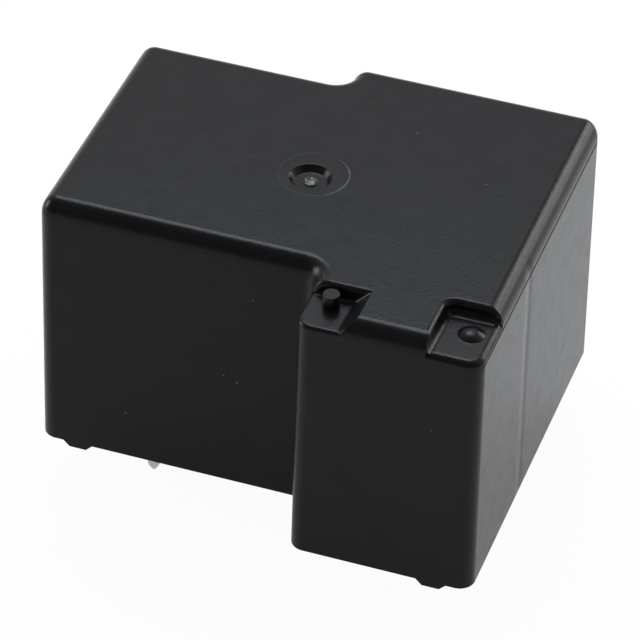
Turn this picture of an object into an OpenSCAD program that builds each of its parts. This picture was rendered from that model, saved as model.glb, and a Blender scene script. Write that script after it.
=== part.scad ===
// Board-mounted power relay: sealed case, coil with hinged armature, one changeover contact.
// Millimetres. X runs along the case, Y from the contact bay to the back, Z up.
// The origin is under the middle of the case, at the tips of the pins.

/* [Case] */
// Length of the case at its rim
case_l = 32.5; // [29.2:0.1:36]
// Width of the case at its rim
case_w = 27.65; // [24.9:0.05:31]
// Height of the case from rim to roof
case_h = 20; // [18.6:0.1:24]
// How far the contact bay stands out in front of the coil bay
front_step = 5.05; // [4.4:0.05:5.4]
// Length of the contact bay at the rim
front_bay_l = 12.8; // [11.8:0.1:14]
// How far the spring bay stands out behind the coil bay
back_step = 2.35; // [1.6:0.05:2.7]
// Length of the spring bay at the rim
back_bay_l = 17.8; // [17:0.1:19]
// Draft of the walls, in degrees
draft = 0.4; // [0:0.1:0.8]
// Thickness of the walls
wall = 1.1; // [0.8:0.05:1.3]
// Thickness of the roof
roof_t = 1.2; // [0.9:0.05:1.6]
// Radius of the upright outer corners
corner_r = 1.1; // [0.6:0.05:1.6]
// Radius of the upright inner corners
nook_r = 1.2; // [0.6:0.05:2]
// Radius of the edge round the roof
edge_r = 1.1; // [0.5:0.05:1.5]
// Drop from the roof to the witness line of the mould
seam_drop = 1.7; // [1.5:0.1:3]
// Depth of the witness line
seam_depth = 0.04; // [0.03:0.01:0.1]

/* [Roof details] */
// Depth of the two corner notches in the roof
notch_depth = 1.05; // [0.6:0.05:1.3]
// Length of the floor of the nib notch, along the case
nib_notch_l = 3.0; // [2.4:0.1:4]
// Width of the nib notch, across the case
nib_notch_w = 3.5; // [3.2:0.05:5]
// Run of the sloping end of the nib notch
nib_notch_slope = 1.05; // [0.3:0.05:1.5]
// Diameter of the vent nib
nib_d = 1.16; // [0.8:0.02:1.6]
// Distance from the nib's axis to the notch's back wall
nib_inset = 0.95; // [0.9:0.05:1.5]
// Distance from the side of the contact bay to the nib's axis
nib_side = 1.65; // [1.2:0.05:2]
// Length of the dome notch, along the case
dome_notch_l = 3.7; // [3:0.1:5]
// Width of the dome notch, across the case
dome_notch_w = 4.65; // [4:0.05:6]
// Radius of the dome notch's inner corner
notch_r = 0.7; // [0.3:0.05:1.2]
// Diameter of the vent dome
dome_d = 2.0; // [1.4:0.1:2.6]
// Height of the vent dome
dome_h = 0.35; // [0.2:0.01:0.6]
// Distance from the end of the case to the dome's axis
dome_side = 1.55; // [1.4:0.05:1.9]
// Distance from the front of the case to the dome's axis
dome_back = 2.9; // [1.8:0.1:3.2]
// Distance from the middle of the case back to the gate
gate_back = 0.5; // [0:0.1:2]
// Diameter of the gate dimple at its mouth
gate_d = 3.0; // [2:0.1:4]
// Diameter of the gate dimple's floor
gate_floor_d = 2.5; // [1.4:0.1:2.6]
// Depth of the gate dimple
gate_depth = 0.55; // [0.4:0.05:1]
// Diameter of the gate stub left in the dimple
gate_stub_d = 0.95; // [0.5:0.05:1.2]
// Height of the gate stub
gate_stub_h = 0.15; // [0.1:0.05:0.4]

/* [Feet] */
// Height of the feet under the rim
foot_h = 0.45; // [0.3:0.05:0.8]
// Length of a foot at its root
foot_l = 2.1; // [1.4:0.1:3]
// Distance from the end of the case to the first edge of a foot
foot_inset = 1.7; // [1.2:0.1:3]

/* [Pins] */
// Grid of the pin layout
pitch = 2.54; // [2.5:0.01:2.6]
// Distance from the middle of the case back to the coil pins
coil_pin_back = 9.36; // [9:0.02:9.6]
// Distance from the middle of the case forward to the first coil pin
coil_pin_fwd = 5.0; // [4.9:0.02:5.1]
// Distance from the contact end of the case to the blade of the closed terminal
closed_inset = 2.75; // [2.6:0.05:3]
// Distance from the front of the case to the blades of the fixed terminals
fixed_inset = 6.285; // [6.2:0.005:6.5]
// Distance from the back of the case to the blade of the common terminal
common_inset = 3.585; // [3.5:0.005:3.8]
// Reach of the pins below the feet
pin_reach = 3.6; // [3:0.1:4.5]
// Diameter of the coil pins
coil_pin_d = 0.9; // [0.7:0.05:1.1]
// Width of the contact blades
blade_w = 1.6; // [1.2:0.1:2]
// Thickness of the contact terminals
terminal_t = 0.8; // [0.6:0.05:1]
// Length of the taper at a pin's tip
tip_l = 0.55; // [0.3:0.05:1]
// Width left at a pin's tip
tip_w = 0.3; // [0.2:0.05:0.5]

/* [Base] */
// Thickness of the base plate
base_t = 1.3; // [1:0.1:1.6]
// Depth of the base plate's underside inside the rim
base_depth = 1.0; // [0.8:0.1:1.3]
// Thickness of the sealing resin under the base
resin_t = 0.7; // [0.4:0.05:0.75]
// Height of the terminal sockets on the base
socket_h = 1.6; // [1:0.1:2]

/* [Magnet] */
// Thickness of the yoke
yoke_t = 1.8; // [1.4:0.1:2]
// Height of the yoke
yoke_h = 11.4; // [10:0.1:11.8]
// Diameter of the core
core_d = 6.8; // [6:0.1:7.2]
// Diameter of the pole head
pole_d = 10.4; // [9:0.1:11.5]
// Thickness of the pole head
pole_t = 1.0; // [0.8:0.1:1.4]
// Wall of the bobbin's tube and flanges
bobbin_wall = 0.9; // [0.7:0.05:1.1]
// Room from the winding out to the edge of the flanges
winding_room = 1.22; // [1.1:0.02:2]
// Thickness of the tape round the winding
tape_t = 0.1; // [0.06:0.01:0.2]
// Diameter of the coil's wire ends
wire_d = 0.2; // [0.12:0.01:0.25]
// Thickness of the armature
armature_t = 1.6; // [1.2:0.1:1.8]
// Height of the armature
armature_h = 12.6; // [11.4:0.1:13]

/* [Contacts] */
// Thickness of the contact spring
spring_t = 0.35; // [0.25:0.01:0.4]
// Height of the contact spring where it is riveted
spring_h = 9; // [8:0.1:10]
// Height of the contact spring at the contact
blade_tip_h = 5.4; // [5:0.1:6.5]
// Diameter of the contacts
contact_d = 3.8; // [3.2:0.1:4]
// Height of a fixed contact's head
fixed_head = 0.8; // [0.6:0.05:0.9]
// Height of each head of the moving contact
moving_head = 0.57; // [0.45:0.01:0.62]
// Tilt of the armature when it is at rest, in degrees
rest_tilt = 3.6; // [3.3:0.1:3.9]
// Diameter of the rivet shanks
rivet_d = 1.8; // [1.4:0.1:2]
// Diameter of the rivet heads
rivet_head_d = 3.0; // [2.6:0.1:3.2]
// Height of the rivet heads
rivet_head_h = 0.6; // [0.4:0.05:0.8]

/* [Hidden] */
$fn = 64;
// Side clearance of pieces that are pressed or dropped together
fit_gap = 0.03;
// Clearance between the base and the case wall
base_gap = 0.1;
// Clearance between the coil's frame and the case wall
coil_gap = 0.3;
// Gap left at the hinge edge and at closed contacts
touch_gap = 0.04;
// Small overlap that makes a cut break through
cut = 0.5;
// Points on a quarter turn of the case outline
arc_n = 8;
// Rings on the rounded roof edge
ring_n = 7;
// Smallest radius of a corner of a ring
least_r = 0.05;
// Radius of the upright corners inside the case
inner_r = max(corner_r - wall / 2, 0.2);
// Drop from the roof to the flat top of the nib
nib_drop = 0.04;
// Material round a blade in its socket
socket_rim = 0.5;
// Part of the coil's height that the barrier on the base covers
barrier_part = 0.75;
// Inner radius of the yoke's bend
yoke_bend_r = 0.1;
// Radius of the corners of the bobbin's flanges
flange_r = 1.2;
// How far the bobbin's ledge reaches past the coil pins
ledge_reach = 1.0;
// How much smaller the staked end of the core is
stake_step = 1.6;
// How much smaller the squared shank of a coil pin is
shank_step = 0.1;
// Room between the end of a coil pin and the yoke above it
stub_room = 0.25;
// Room between the fixed blades and the armature
neck_room = 0.6;
// Metal left between a rivet head and the edge of the spring
rivet_margin = 0.6;
// Metal left round the moving contact at the end of the spring
spring_margin = 0.15;
// Part of the spring's height that the window in its heel takes
window_part = 0.45;
// Metal left round a fixed contact
contact_margin = 0.3;
// Metal left round the rivet heads on the common terminal
plate_margin = 0.5;
// Height of the closed head behind a fixed contact
tail_h = 0.35;

// Levels, from the pin tips up
seat_z = pin_reach;
rim_z = seat_z + foot_h;
roof_z = rim_z + case_h;
seam_z = roof_z - seam_drop;
base_z = rim_z + base_depth;
resin_z = base_z - resin_t;
floor_z = base_z + base_t;
ceiling_z = roof_z - roof_t;
notch_z = roof_z - notch_depth;

// Plan of the case at its rim
left_x = -case_l / 2;
right_x = case_l / 2;
front_y = -case_w / 2;
back_y = case_w / 2;
bay_x = right_x - front_bay_l;
heel_x = right_x - back_bay_l;
coil_front_y = front_y + front_step;
coil_back_y = back_y - back_step;
// How far the walls lean in from the rim to the roof
lean = case_h * tan(draft);
roof_right_x = right_x - lean;
roof_front_y = front_y + lean;
roof_bay_x = bay_x + lean;

// Pin places. Pins of one group stand whole steps of the grid apart, and the contact groups follow the
// walls that they stand by.
coil_x = -coil_pin_back;
coil_a_y = -coil_pin_fwd;
coil_b_y = coil_a_y + 5 * pitch;
closed_x = right_x - closed_inset;
open_x = closed_x - 2 * pitch;
fixed_pin_y = front_y + fixed_inset;
common_x = closed_x - 4 * pitch;
common_y = back_y - common_inset;

// Magnet, worked out from the common terminal forwards and from the case wall
yoke_back_y = common_y - terminal_t / 2 - spring_t - 2 * fit_gap;
yoke_front_y = yoke_back_y - yoke_t;
flange_front_y = coil_front_y + lean + wall + coil_gap;
flange_back_y = yoke_front_y - fit_gap;
flange_w = flange_back_y - flange_front_y;
flange_h = ceiling_z - floor_z - 2 * coil_gap;
winding_d = min(flange_w, flange_h) - 2 * winding_room;
axis_y = (flange_front_y + flange_back_y) / 2;
axis_z = floor_z + flange_h / 2;
yoke_left_x = left_x + lean + wall + coil_gap;
bobbin_left_x = yoke_left_x + yoke_t + fit_gap;
tube_d = core_d + 2 * fit_gap + 2 * bobbin_wall;
stake_d = core_d - stake_step;
ledge_z = floor_z + bobbin_wall;
stub_z = axis_z - yoke_h / 2 - stub_room;
shank_w = coil_pin_d - shank_step;

// Moving contact, worked out back from the closed contact's face
contact_y = fixed_pin_y - blade_w * 1.5;
contact_z = axis_z;
open_face_x = open_x + terminal_t / 2 + fixed_head;
closed_face_x = closed_x - terminal_t / 2 - fixed_head;
span = yoke_back_y - contact_y;
blade_off = armature_t + touch_gap + fit_gap + spring_t / 2;
moving_half = spring_t / 2 + moving_head;
pole_x = closed_face_x - touch_gap - (blade_off + moving_half) * cos(rest_tilt) - span * sin(rest_tilt);
bobbin_right_x = pole_x - pole_t - fit_gap;
winding_left_x = bobbin_left_x + bobbin_wall + fit_gap;
winding_right_x = bobbin_right_x - bobbin_wall - fit_gap;
// How far the tape stops short of the flange where the wire ends come out
lead_room = 1.2;
armature_front_y = fixed_pin_y + blade_w / 2 + neck_room;
rivet_rise = spring_h / 2 - rivet_head_d / 2 - rivet_margin;
armature_rivet_y = axis_y + pole_d / 4;
contact_shank_d = contact_d / 2;
spring_tip_y = contact_y - yoke_back_y - contact_d / 2 - spring_margin;
blade_tip_l = 1.4 * tip_l;

// Heel of the contact spring: two small outward bends either side of one large turn
heel_r = 2.3;
heel_ease_r = 1.2;
heel_depth = 1.45;
heel_turn = 90 - rest_tilt;
heel_half = (180 - heel_turn) / 2;
heel_swing = acos((heel_ease_r + heel_depth) / (heel_ease_r + heel_r));
heel_start = heel_depth / tan(heel_half) + (heel_ease_r + heel_r) * sin(heel_swing);

// Stepped plan of the case. Each corner is [x, y, inward x, inward y, 1 for an outer corner].
plan = [
    [left_x, coil_front_y, 1, 1, 1],
    [bay_x, coil_front_y, 1, 1, -1],
    [bay_x, front_y, 1, 1, 1],
    [right_x, front_y, -1, 1, 1],
    [right_x, back_y, -1, -1, 1],
    [heel_x, back_y, 1, -1, 1],
    [heel_x, coil_back_y, 1, -1, -1],
    [left_x, coil_back_y, 1, -1, 1]];

// Points of one rounded corner, moved in from the rim by inset
function corner(c, inset, r_out, r_in) =
    let (r = c[4] > 0 ? r_out : r_in)
    let (mid = atan2(c[3], c[2]) + (c[4] > 0 ? 180 : 0))
    [for (k = [0 : arc_n])
        let (a = mid + c[4] * (90 * k / arc_n - 45))
        [c[0] + c[2] * (inset + c[4] * r) + r * cos(a), c[1] + c[3] * (inset + c[4] * r) + r * sin(a)]];

function outline(inset, r_out, r_in) = [for (c = plan) each corner(c, inset, r_out, r_in)];

function raise(points, z) = [for (p = points) [p[0], p[1], z]];

// How far the outer wall stands in from the rim at a height
function lean_at(z) = (z - rim_z) * tan(draft);

// A ring of the case outline at a height, moved in by inset from the leaning wall
function ring(z, inset, r_out, r_in) =
    raise(outline(lean_at(z) + inset, r_out, r_in), z);

// Place in the contact bay from which every stretch of the outline can be seen
cap_mid = [(bay_x + right_x) / 2, (coil_front_y + coil_back_y) / 2];

// Solid through a stack of level rings that have equally many points
module loft(rings) {
    n = len(rings[0]);
    m = len(rings);
    low = m * n;
    high = low + 1;
    sides = [for (j = [0 : m - 2]) for (i = [0 : n - 1])
        [j * n + i, (j + 1) * n + i, (j + 1) * n + (i + 1) % n, j * n + (i + 1) % n]];
    bottom = [for (i = [0 : n - 1]) [low, i, (i + 1) % n]];
    top = [for (i = [0 : n - 1]) [high, (m - 1) * n + (i + 1) % n, (m - 1) * n + i]];
    mids = [each raise([cap_mid], rings[0][0][2]), each raise([cap_mid], rings[m - 1][0][2])];
    polyhedron(concat([for (r = rings) each r], mids), concat(bottom, sides, top));
}

// Rings of the rounded roof edge
function roof_rings() = [for (k = [0 : ring_n])
    let (a = 90 * k / ring_n)
    let (inset = edge_r * (1 - cos(a)))
    ring(roof_z - edge_r * (1 - sin(a)), inset, max(corner_r - inset, least_r), nook_r + inset)];

module case_body() {
    loft(concat([
        ring(rim_z, 0, corner_r, nook_r),
        ring(seam_z - seam_depth, 0, corner_r, nook_r),
        ring(seam_z, seam_depth, corner_r, nook_r),
        ring(seam_z + seam_depth, 0, corner_r, nook_r)], roof_rings()));
}

module case_room() {
    loft([
        ring(rim_z - cut, wall, inner_r, nook_r),
        ring(ceiling_z, wall, inner_r, nook_r)]);
}

// The corner that is cut down for the vent nib, with its sloping end
module nib_notch() {
    translate([0, roof_front_y + nib_notch_w, 0])
        rotate([90, 0, 0])
            linear_extrude(nib_notch_w + lean + cut)
                polygon([
                    [bay_x - cut, notch_z],
                    [roof_bay_x + nib_notch_l, notch_z],
                    [roof_bay_x + nib_notch_l + nib_notch_slope, roof_z],
                    [roof_bay_x + nib_notch_l + nib_notch_slope, roof_z + cut],
                    [bay_x - cut, roof_z + cut]]);
}

// The corner that is cut down round the vent dome, with a rounded inner corner
module dome_notch() {
    x = roof_right_x - dome_notch_l;
    y = roof_front_y + dome_notch_w;
    translate([0, 0, notch_z])
        linear_extrude(notch_depth + cut)
            union() {
                translate([x + notch_r, front_y - cut]) square([right_x + cut - x, y - front_y + cut]);
                translate([x, front_y - cut]) square([notch_r + cut, y - front_y + cut - notch_r]);
                translate([x + notch_r, y - notch_r]) circle(notch_r);
            }
}

// Thick places inside, which carry the notches and the gate
module roof_backing() {
    nib_end = roof_bay_x + nib_notch_l + nib_notch_slope + wall;
    translate([bay_x, front_y, notch_z - wall])
        cube([nib_end - bay_x, lean + nib_notch_w + wall, notch_depth + wall]);
    dome_end = roof_right_x - dome_notch_l - wall;
    translate([dome_end, front_y, notch_z - wall])
        cube([right_x - dome_end, lean + dome_notch_w + wall, notch_depth + wall]);
    translate([0, gate_back, ceiling_z - gate_depth])
        cylinder(d = gate_d + 2 * wall, h = roof_t + gate_depth);
}

module gate_dimple() {
    translate([0, gate_back, roof_z - gate_depth]) cylinder(d1 = gate_floor_d, d2 = gate_d, h = gate_depth);
    translate([0, gate_back, roof_z]) cylinder(d = gate_d, h = cut);
}

module vent_dome() {
    ball_r = (dome_d * dome_d / 4 + dome_h * dome_h) / (2 * dome_h);
    translate([roof_right_x - dome_side, roof_front_y + dome_back, notch_z])
        intersection() {
            translate([0, 0, dome_h - ball_r]) sphere(ball_r);
            translate([0, 0, -wall / 2]) cylinder(d = dome_d, h = dome_h + wall);
        }
}

// One foot under a front or back wall, with sloping ends
module foot(x, y) {
    translate([x, y + wall, rim_z])
        rotate([90, 0, 0])
            linear_extrude(wall)
                polygon([
                    [0, 0],
                    [foot_h, -foot_h],
                    [foot_l - foot_h, -foot_h],
                    [foot_l, 0],
                    [foot_l, wall],
                    [0, wall]]);
}

module cover() {
    color([0.13, 0.13, 0.135]) {
        difference() {
            case_body();
            difference() {
                case_room();
                roof_backing();
            }
            nib_notch();
            dome_notch();
            gate_dimple();
        }
        translate([roof_bay_x + nib_side, roof_front_y + nib_notch_w - nib_inset, notch_z - wall / 2])
            cylinder(d = nib_d, h = notch_depth + wall / 2 - nib_drop);
        vent_dome();
        translate([0, gate_back, roof_z - gate_depth - wall / 2])
            cylinder(d = gate_stub_d, h = wall / 2 + gate_stub_h);
        foot(left_x + foot_inset, coil_front_y);
        foot(left_x + foot_inset, coil_back_y - wall);
        foot(right_x - foot_inset - foot_l, front_y);
        foot(right_x - foot_inset - foot_l, back_y - wall);
    }
}

// Flat sheet of the case's inner outline, between two heights
module inner_sheet(z0, z1, gap) {
    translate([0, 0, z0])
        linear_extrude(z1 - z0) polygon(outline(lean_at(z1) + wall + gap, inner_r, nook_r));
}

// Openings for all the pins, between two heights
module pin_holes(z0, h) {
    for (y = [coil_a_y, coil_b_y])
        translate([coil_x - shank_w / 2 - fit_gap, y - shank_w / 2 - fit_gap, z0])
            cube([shank_w + 2 * fit_gap, shank_w + 2 * fit_gap, h]);
    for (x = [open_x, closed_x])
        translate([x - terminal_t / 2 - fit_gap, fixed_pin_y - blade_w / 2 - fit_gap, z0])
            cube([terminal_t + 2 * fit_gap, blade_w + 2 * fit_gap, h]);
    translate([common_x - blade_w / 2 - fit_gap, common_y - terminal_t / 2 - fit_gap, z0])
        cube([blade_w + 2 * fit_gap, terminal_t + 2 * fit_gap, h]);
}

// Raised socket that grips a blade above the base
module socket(x, y, w, d) {
    translate([x - w / 2, y - d / 2, floor_z - base_t / 2]) cube([w, d, base_t / 2 + socket_h]);
}

module base() {
    socket_w = terminal_t + 2 * socket_rim;
    socket_d = blade_w + socket_rim;
    wall_x = roof_bay_x + wall + coil_gap;
    color([0.16, 0.16, 0.17])
        difference() {
            union() {
                inner_sheet(base_z, floor_z, base_gap);
                for (x = [open_x, closed_x]) socket(x, fixed_pin_y - blade_w / 4, socket_w, socket_d);
                socket(common_x, common_y, blade_w + 2 * socket_rim, terminal_t + socket_rim);
                // Upright barrier between the coil and the open terminal
                translate([wall_x, flange_front_y - coil_gap - bobbin_wall, floor_z - base_t / 2])
                    cube([open_x - terminal_t - wall_x, bobbin_wall, base_t / 2 + flange_h * barrier_part]);
            }
            pin_holes(base_z - cut, base_t + socket_h + 2 * cut);
        }
}

module sealing_resin() {
    color([0.1, 0.1, 0.1])
        difference() {
            inner_sheet(resin_z, base_z, fit_gap);
            pin_holes(resin_z - cut, resin_t + 2 * cut);
        }
}

// One flange of the bobbin, with rounded corners
module flange(x) {
    translate([x, flange_front_y, floor_z])
        rotate([90, 0, 90])
            linear_extrude(bobbin_wall)
                union() {
                    for (i = [0, 1]) for (j = [0, 1])
                        translate([i * (flange_w - 2 * flange_r), j * (flange_h - 2 * flange_r)])
                            translate([flange_r, flange_r]) circle(flange_r);
                    translate([flange_r, 0]) square([flange_w - 2 * flange_r, flange_h]);
                    translate([0, flange_r]) square([flange_w, flange_h - 2 * flange_r]);
                }
}

// Round bar along X between two places
module bar(x0, x1, d) {
    translate([x0, axis_y, axis_z]) rotate([0, 90, 0]) cylinder(d = d, h = x1 - x0);
}

module bobbin() {
    ledge_l = coil_x + ledge_reach - bobbin_left_x;
    ledge_w = coil_b_y - coil_a_y + 2 * ledge_reach;
    color([0.2, 0.2, 0.22])
        difference() {
            union() {
                flange(bobbin_left_x);
                flange(bobbin_right_x - bobbin_wall);
                bar(bobbin_left_x, bobbin_right_x, tube_d);
                // Ledge that carries the coil pins
                translate([bobbin_left_x, coil_a_y - ledge_reach, floor_z])
                    cube([ledge_l, ledge_w, bobbin_wall]);
            }
            bar(bobbin_left_x - cut, bobbin_right_x + cut, core_d + 2 * fit_gap);
            pin_holes(floor_z - cut, bobbin_wall + 2 * cut);
        }
}

module coil_winding() {
    color([0.72, 0.4, 0.22])
        difference() {
            bar(winding_left_x, winding_right_x, winding_d);
            bar(winding_left_x - cut, winding_right_x + cut, tube_d + 2 * fit_gap);
        }
}

module coil_tape() {
    color([0.85, 0.7, 0.3])
        difference() {
            bar(winding_left_x + lead_room, winding_right_x, winding_d + 2 * fit_gap + 2 * tape_t);
            bar(winding_left_x, winding_right_x + cut, winding_d + 2 * fit_gap);
        }
}

module core() {
    color([0.7, 0.7, 0.72])
        union() {
            bar(bobbin_left_x, pole_x - pole_t / 2, core_d);
            bar(pole_x - pole_t, pole_x, pole_d);
            bar(yoke_left_x, bobbin_left_x + cut, stake_d);
        }
}

module yoke() {
    bend_r = yoke_t + yoke_bend_r;
    z = axis_z - yoke_h / 2;
    front = axis_y - core_d / 2 - yoke_t;
    color([0.66, 0.66, 0.68])
        difference() {
            union() {
                translate([yoke_left_x + bend_r, yoke_front_y, z])
                    cube([pole_x - yoke_left_x - bend_r, yoke_t, yoke_h]);
                translate([yoke_left_x, front, z]) cube([yoke_t, yoke_back_y - bend_r - front, yoke_h]);
                translate([yoke_left_x + bend_r, yoke_back_y - bend_r, z])
                    intersection() {
                        difference() {
                            cylinder(r = bend_r, h = yoke_h);
                            translate([0, 0, -cut]) cylinder(r = bend_r - yoke_t, h = yoke_h + 2 * cut);
                        }
                        translate([-bend_r, 0, 0]) cube([bend_r, bend_r, yoke_h]);
                    }
            }
            bar(yoke_left_x - cut, yoke_left_x + yoke_t + cut, stake_d + 2 * fit_gap);
            yoke_rivet_holes(rivet_d + 2 * fit_gap);
        }
}

// Straight bars through the yoke, the spring and the common terminal
module yoke_rivet_holes(d) {
    for (s = [-1, 1])
        translate([common_x, common_y + terminal_t, axis_z + s * rivet_rise])
            rotate([90, 0, 0]) cylinder(d = d, h = terminal_t * 2 + spring_t + yoke_t + cut);
}

module yoke_rivets() {
    head_y = common_y + terminal_t / 2 + fit_gap;
    color([0.75, 0.6, 0.4])
        for (s = [-1, 1])
            translate([common_x, head_y, axis_z + s * rivet_rise]) {
                rotate([90, 0, 0]) cylinder(d = rivet_d, h = head_y - yoke_front_y);
                rotate([-90, 0, 0]) cylinder(d = rivet_head_d, h = rivet_head_h);
            }
}

// Turns what is drawn with the armature closed to its place at rest
module at_rest() {
    translate([pole_x, yoke_back_y, 0]) rotate([0, 0, rest_tilt]) children();
}

// Places of the two rivets on the closed armature, from the hinge edge
module armature_rivet_places() {
    for (s = [-1, 1])
        translate([touch_gap, armature_rivet_y - yoke_back_y, axis_z + s * rivet_rise])
            rotate([0, 90, 0]) children();
}

module armature() {
    color([0.68, 0.68, 0.7])
        at_rest()
            difference() {
                translate([touch_gap, armature_front_y - yoke_back_y, axis_z - armature_h / 2])
                    cube([armature_t, yoke_back_y - armature_front_y, armature_h]);
                armature_rivet_places()
                    translate([0, 0, -cut]) cylinder(d = rivet_d + 2 * fit_gap, h = armature_t + 2 * cut);
            }
}

module armature_rivets() {
    stack = armature_t + spring_t + 2 * fit_gap;
    color([0.75, 0.6, 0.4])
        at_rest()
            armature_rivet_places() {
                cylinder(d = rivet_d, h = stack + rivet_head_h);
                translate([0, 0, stack]) cylinder(d = rivet_head_d, h = rivet_head_h);
            }
}

// Middle line of the spring's heel, as [x, y, heading] from the hinge edge
spring_y = spring_t / 2 + fit_gap;
corner_x = blade_off / cos(rest_tilt) - spring_y * tan(rest_tilt);
heel_mid_a = 180 + heel_half;
heel_mid = [corner_x, spring_y] + heel_depth / sin(heel_half) * [cos(heel_mid_a), sin(heel_mid_a)];
heel_in = [corner_x - heel_start, spring_y];
heel_out = [corner_x, spring_y] + heel_start * [cos(-heel_turn), sin(-heel_turn)];

function arc_points(c, r, a0, a1, n) = [for (k = [0 : n])
    let (a = a0 + (a1 - a0) * k / n)
    c + r * [cos(a), sin(a)]];

// One face of the heel, at a distance to the left of its middle line
function heel_face(off) = concat(
    arc_points(heel_in + [0, heel_ease_r], heel_ease_r - off, -90, heel_swing - 90, 6),
    arc_points(heel_mid, heel_r + off, 90 + heel_swing, -heel_turn - heel_swing + 90, 24),
    arc_points(heel_out + heel_ease_r * [cos(90 - heel_turn), sin(90 - heel_turn)], heel_ease_r - off,
        270 - heel_turn - heel_swing, 270 - heel_turn, 6));

function turned(p, a) = [p[0] * cos(a) - p[1] * sin(a), p[0] * sin(a) + p[1] * cos(a)];

module spring_profile() {
    half = spring_t / 2;
    fixed_end = common_x - pole_x - rivet_head_d;
    polygon(concat(
        [[fixed_end, spring_y + half]],
        heel_face(half),
        [for (s = [1, -1]) turned([blade_off + s * half, spring_tip_y], rest_tilt)],
        [for (i = [len(heel_face(-half)) - 1 : -1 : 0]) heel_face(-half)[i]],
        [[fixed_end, spring_y - half]]));
}

// Side view of the leaf: full height at the rivets, narrower towards the contact
module spring_face() {
    neck_y = armature_front_y - yoke_back_y;
    polygon([
        [cut + heel_r, -spring_h / 2],
        [cut + heel_r, spring_h / 2],
        [neck_y + blade_tip_h, spring_h / 2],
        [neck_y, blade_tip_h / 2],
        [spring_tip_y, blade_tip_h / 2],
        [spring_tip_y, -blade_tip_h / 2],
        [neck_y, -blade_tip_h / 2],
        [neck_y + blade_tip_h, -spring_h / 2]]);
}

module contact_spring() {
    window_h = spring_h * window_part;
    color([0.8, 0.55, 0.3])
        difference() {
            translate([pole_x, yoke_back_y, 0])
                intersection() {
                    translate([0, 0, axis_z - spring_h]) linear_extrude(2 * spring_h) spring_profile();
                    translate([-pole_x + left_x, 0, axis_z])
                        rotate([90, 0, 90]) linear_extrude(case_l) spring_face();
                }
            yoke_rivet_holes(rivet_d + 2 * fit_gap);
            at_rest() {
                armature_rivet_places() cylinder(d = rivet_d + 2 * fit_gap, h = armature_t + 2 * cut);
                moving_contact_place()
                    cylinder(d = contact_shank_d + 2 * fit_gap, h = 2 * cut, center = true);
            }
            // Window in the heel, which makes the hinge soft
            translate([pole_x, yoke_back_y + cut / 2, axis_z - window_h / 2])
                cube([heel_r * 2, heel_r * 2, window_h]);
        }
}

// Middle of the moving contact, from the hinge edge with the armature closed
module moving_contact_place() {
    translate([blade_off, contact_y - yoke_back_y, contact_z]) rotate([0, 90, 0]) children();
}

// Contact head that stands up from z = 0, with a crowned face
module crowned_head(h) {
    crown_r = contact_d * 2.2;
    intersection() {
        cylinder(d = contact_d, h = h);
        translate([0, 0, h - crown_r]) sphere(crown_r, $fn = 240);
    }
}

module moving_contact() {
    color([0.85, 0.84, 0.8])
        at_rest()
            moving_contact_place()
                union() {
                    cylinder(d = contact_shank_d, h = spring_t + 2 * fit_gap + touch_gap, center = true);
                    for (s = [0, 1])
                        mirror([0, 0, s])
                            translate([0, 0, spring_t / 2 + fit_gap]) crowned_head(moving_head - fit_gap);
                }
}

// Fixed contact rivet on a terminal, with its head towards side
module fixed_contact(x, side) {
    tail_d = contact_d * 0.7;
    back = -terminal_t / 2 - fit_gap;
    color([0.85, 0.84, 0.8])
        translate([x, contact_y, contact_z])
            rotate([0, side * 90, 0]) {
                translate([0, 0, terminal_t / 2 + fit_gap]) crowned_head(fixed_head - fit_gap);
                translate([0, 0, back]) cylinder(d = contact_shank_d, h = terminal_t + 3 * fit_gap);
                translate([0, 0, back - tail_h]) cylinder(d = tail_d, h = tail_h);
            }
}

module open_contact() { fixed_contact(open_x, 1); }

module closed_contact() { fixed_contact(closed_x, -1); }

// Outline of a pin: straight sides and a tapered tip, around u = 0
function blade_points() = [
    [-blade_w / 2, blade_tip_l],
    [-tip_w / 2, 0],
    [tip_w / 2, 0],
    [blade_w / 2, blade_tip_l]];

module fixed_terminal(x) {
    head_w = contact_d + 2 * contact_margin;
    front = contact_y - fixed_pin_y - head_w / 2;
    tail_z = floor_z + socket_h;
    head_z = contact_z + head_w / 2;
    color([0.8, 0.62, 0.4])
        difference() {
            translate([x - terminal_t / 2, fixed_pin_y, 0])
                rotate([90, 0, 90])
                    linear_extrude(terminal_t)
                        polygon(concat(blade_points(), [
                            [blade_w / 2, tail_z + blade_w],
                            [front + head_w, tail_z + 2 * blade_w],
                            [front + head_w, head_z],
                            [front, head_z],
                            [front, tail_z + blade_w],
                            [-blade_w / 2, tail_z]]));
            translate([x, contact_y, contact_z])
                rotate([0, 90, 0])
                    cylinder(d = contact_shank_d + 2 * fit_gap, h = 2 * terminal_t, center = true);
        }
}

module open_terminal() { fixed_terminal(open_x); }

module closed_terminal() { fixed_terminal(closed_x); }

module common_terminal() {
    half_w = rivet_head_d / 2 + plate_margin;
    plate_z = axis_z - rivet_rise - half_w;
    plate_top = axis_z + rivet_rise + half_w;
    color([0.8, 0.62, 0.4])
        difference() {
            translate([common_x, common_y + terminal_t / 2, 0])
                rotate([90, 0, 0])
                    linear_extrude(terminal_t)
                        polygon(concat(blade_points(), [
                            [blade_w / 2, plate_z - blade_w / 2],
                            [half_w, plate_z],
                            [half_w, plate_top],
                            [-half_w, plate_top],
                            [-half_w, plate_z],
                            [-blade_w / 2, plate_z - blade_w / 2]]));
            yoke_rivet_holes(rivet_d + 2 * fit_gap);
        }
}

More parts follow.
